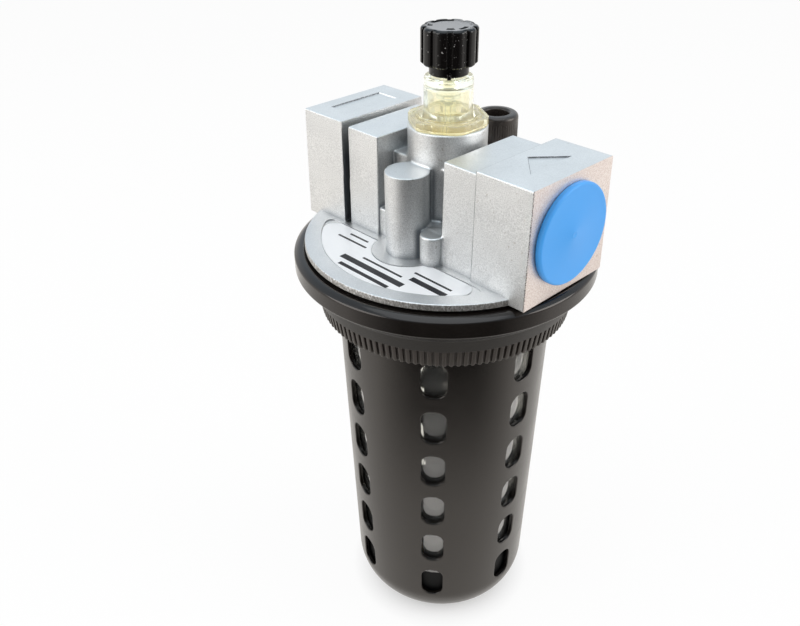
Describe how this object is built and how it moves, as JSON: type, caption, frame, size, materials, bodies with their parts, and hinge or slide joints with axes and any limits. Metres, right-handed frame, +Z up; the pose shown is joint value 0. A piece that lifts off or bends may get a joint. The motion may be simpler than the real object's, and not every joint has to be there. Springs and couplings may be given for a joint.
{
  "type": "air line lubricator",
  "caption": "Air line lubricator: die-cast head with two port blocks, sight dome with metering knob, filler plug, and a clear bowl in a slotted guard under a clamp ring.",
  "frame": {"origin": "middle of the bowl guard's flat foot, on the bowl's axis", "axes": "+Z up along the bowl's axis to the knob, +X along the air way towards the inlet port, -Y towards the label side"},
  "size_m": [0.0922, 0.0922, 0.2041],
  "materials": {
    "cast_grey": "blasted die casting, fine grain, cut bare on the port faces",
    "white_vinyl": "smooth printed vinyl, left plain",
    "ring_black": "moulded black plastic, semi-gloss rim, matt band",
    "guard_black": "black paint on drawn metal, soft sheen",
    "clear_bowl": "clear moulded polycarbonate",
    "seal_rubber": "black nitrile",
    "white_nylon": "natural nylon tube",
    "sintered_bronze": "sintered bronze",
    "brass": "turned brass",
    "ball_steel": "polished ball",
    "grey_plastic": "moulded plastic",
    "clear_dome": "clear plastic with a faint yellow tint",
    "knob_black": "moulded black plastic, glossy",
    "plug_blue": "soft moulded polyethylene"
  },
  "bodies": {
    "casting": {"body": "cast_grey", "label": "white_vinyl", "siphon_fitting": "brass", "siphon_tube": "white_nylon", "siphon_filter": "sintered_bronze", "flow_guide": "grey_plastic", "drip_nozzle": "clear_dome", "sight_dome": "clear_dome", "dome_seal": "seal_rubber"},
    "bowl_group": {"bowl_guard": "guard_black", "bowl": "clear_bowl", "bowl_seal": "seal_rubber"},
    "collar": {"clamp_ring": "ring_black"},
    "ball": {"check_ball": "ball_steel"},
    "stem_ring": {"stem_seal": "seal_rubber"},
    "metering": {"adjusting_knob": "knob_black", "metering_needle": "clear_dome"},
    "filler_ring": {"filler_seal": "seal_rubber"},
    "filler": {"filler_plug": "knob_black"},
    "port_plug": {"inlet_plug": "plug_blue"}
  },
  "joints": [
    {"name": "bowl_drop", "type": "slide", "parent": "casting", "child": "bowl_group", "axis": [0, 0, -1], "range_m": [0, 0.009]},
    {"name": "ring_turn", "type": "hinge", "parent": "bowl_group", "child": "collar", "pos_m": [0, 0, 0.13], "axis": [0, 0, -1], "range_deg": [0, 1081]},
    {"name": "ball_lift", "type": "slide", "parent": "casting", "child": "ball", "axis": [0, 0, 1], "range_m": [0, 0.0015]},
    {"name": "stem_rise", "type": "slide", "parent": "casting", "child": "stem_ring", "axis": [0, 0, 1], "range_m": [0, 0.0015]},
    {"name": "knob_turn", "type": "hinge", "parent": "stem_ring", "child": "metering", "pos_m": [0, 0, 0.195], "axis": [0, 0, 1], "range_deg": [0, 1081]},
    {"name": "filler_rise", "type": "slide", "parent": "casting", "child": "filler_ring", "axis": [0, 0, 1], "range_m": [0, 0.009]},
    {"name": "filler_turn", "type": "hinge", "parent": "filler_ring", "child": "filler", "pos_m": [0, 0.021, 0.169], "axis": [0, 0, 1], "range_deg": [0, 2162]},
    {"name": "plug_pull", "type": "slide", "parent": "casting", "child": "port_plug", "axis": [1, 0, 0], "range_m": [0, 0.012]}
  ],
  "couplings": [
    {"joint": "ring_turn", "follows": "bowl_drop", "rad_per_m": 2094.4},
    {"joint": "knob_turn", "follows": "stem_rise", "rad_per_m": 12566},
    {"joint": "filler_turn", "follows": "filler_rise", "rad_per_m": 4188.8}
  ]
}
